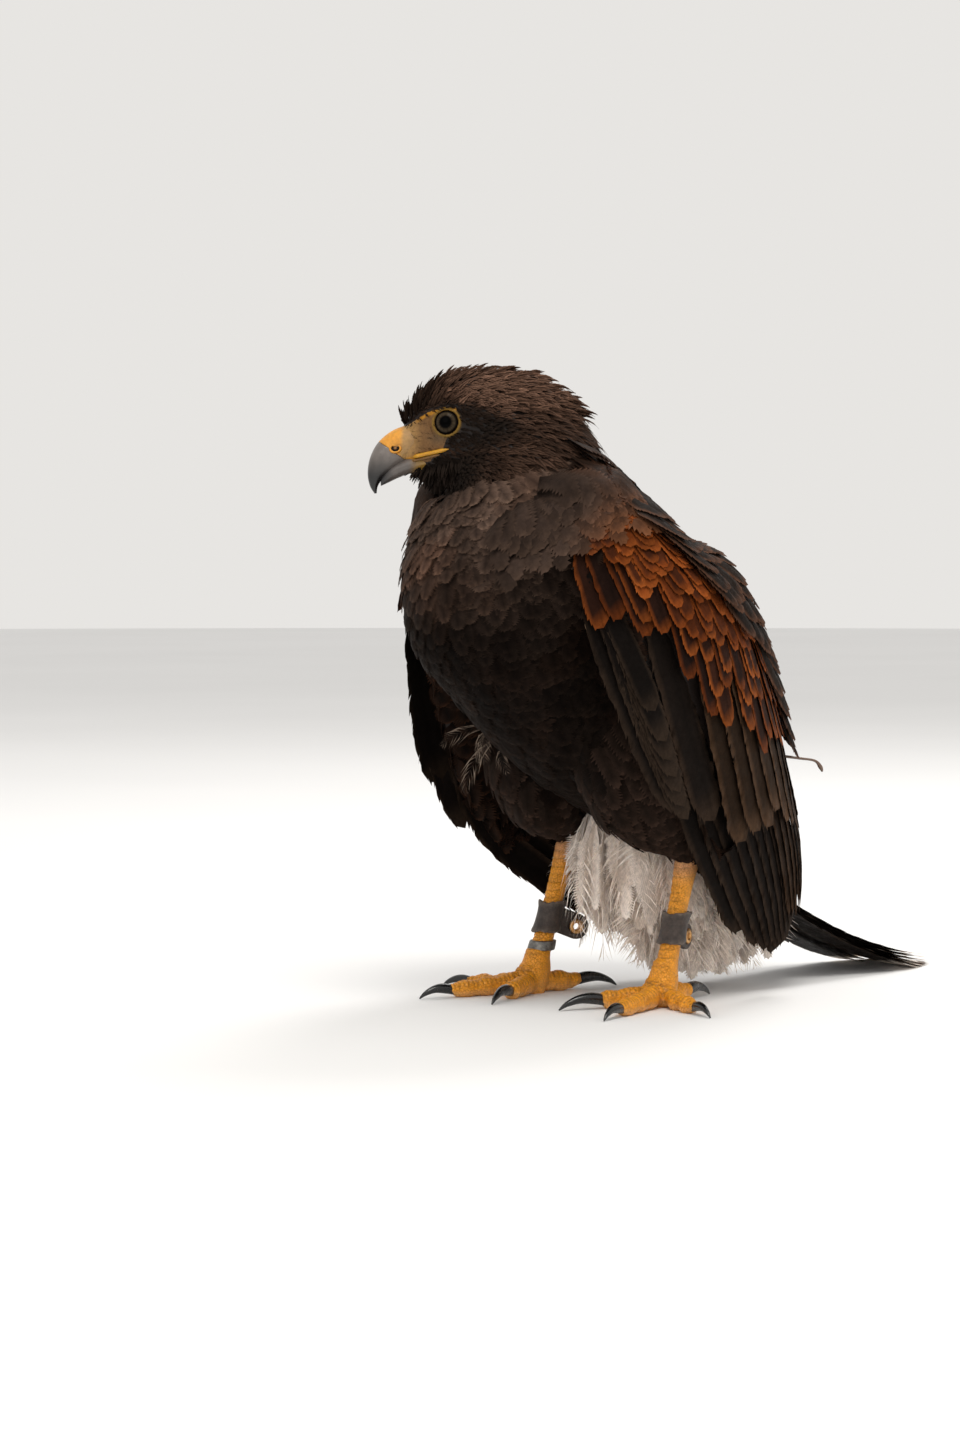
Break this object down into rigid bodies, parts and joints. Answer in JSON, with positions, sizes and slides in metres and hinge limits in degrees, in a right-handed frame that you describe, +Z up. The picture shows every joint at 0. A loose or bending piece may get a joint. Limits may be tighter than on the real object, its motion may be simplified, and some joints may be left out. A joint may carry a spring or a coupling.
{
  "type": "harris hawk",
  "caption": "Life-size dark brown hawk standing upright with its head turned, rufous shoulders, folded wings, white-tipped tail laid back, yellow legs and leather anklets",
  "frame": {"origin": "at floor level, under the middle of the bounding box", "axes": "+Z up; the hawk's body faces -Y, its tail points to +Y and its left side is +X"},
  "size_m": [0.1908, 0.3738, 0.3332],
  "materials": {
    "brown_plumage": "soft matte feathers",
    "wing_plumage": "satin flight feathers",
    "tail_plumage": "satin dark feathers with a white tip",
    "white_plumage": "soft downy feathers",
    "cere_skin": "waxy yellow skin",
    "bill_horn": "polished horn",
    "claw_horn": "polished black horn",
    "leg_skin": "scaly yellow skin",
    "eye": "wet dark brown",
    "leather": "worn greased leather",
    "ring_metal": "dull and scratched",
    "eyelet_brass": "worn brass"
  },
  "bodies": {
    "root": {"head": "brown_plumage", "neck": "brown_plumage", "cere": "cere_skin", "bill_upper": "bill_horn", "bill_lower": "bill_horn", "eye_left": "eye", "eye_right": "eye", "torso": "brown_plumage", "wing_left": "wing_plumage", "thigh_left": "brown_plumage", "shank_left": "leg_skin", "foot_left": "leg_skin", "claw_middle_left": "claw_horn", "claw_inner_left": "claw_horn", "claw_outer_left": "claw_horn", "claw_hind_left": "claw_horn", "anklet_left": "leather", "eyelet_left": "eyelet_brass", "wing_right": "wing_plumage", "thigh_right": "brown_plumage", "shank_right": "leg_skin", "foot_right": "leg_skin", "claw_middle_right": "claw_horn", "claw_inner_right": "claw_horn", "claw_outer_right": "claw_horn", "claw_hind_right": "claw_horn", "anklet_right": "leather", "eyelet_right": "eyelet_brass", "leg_ring": "ring_metal", "tail": "tail_plumage", "undertail_coverts": "white_plumage"}
  },
  "joints": []
}
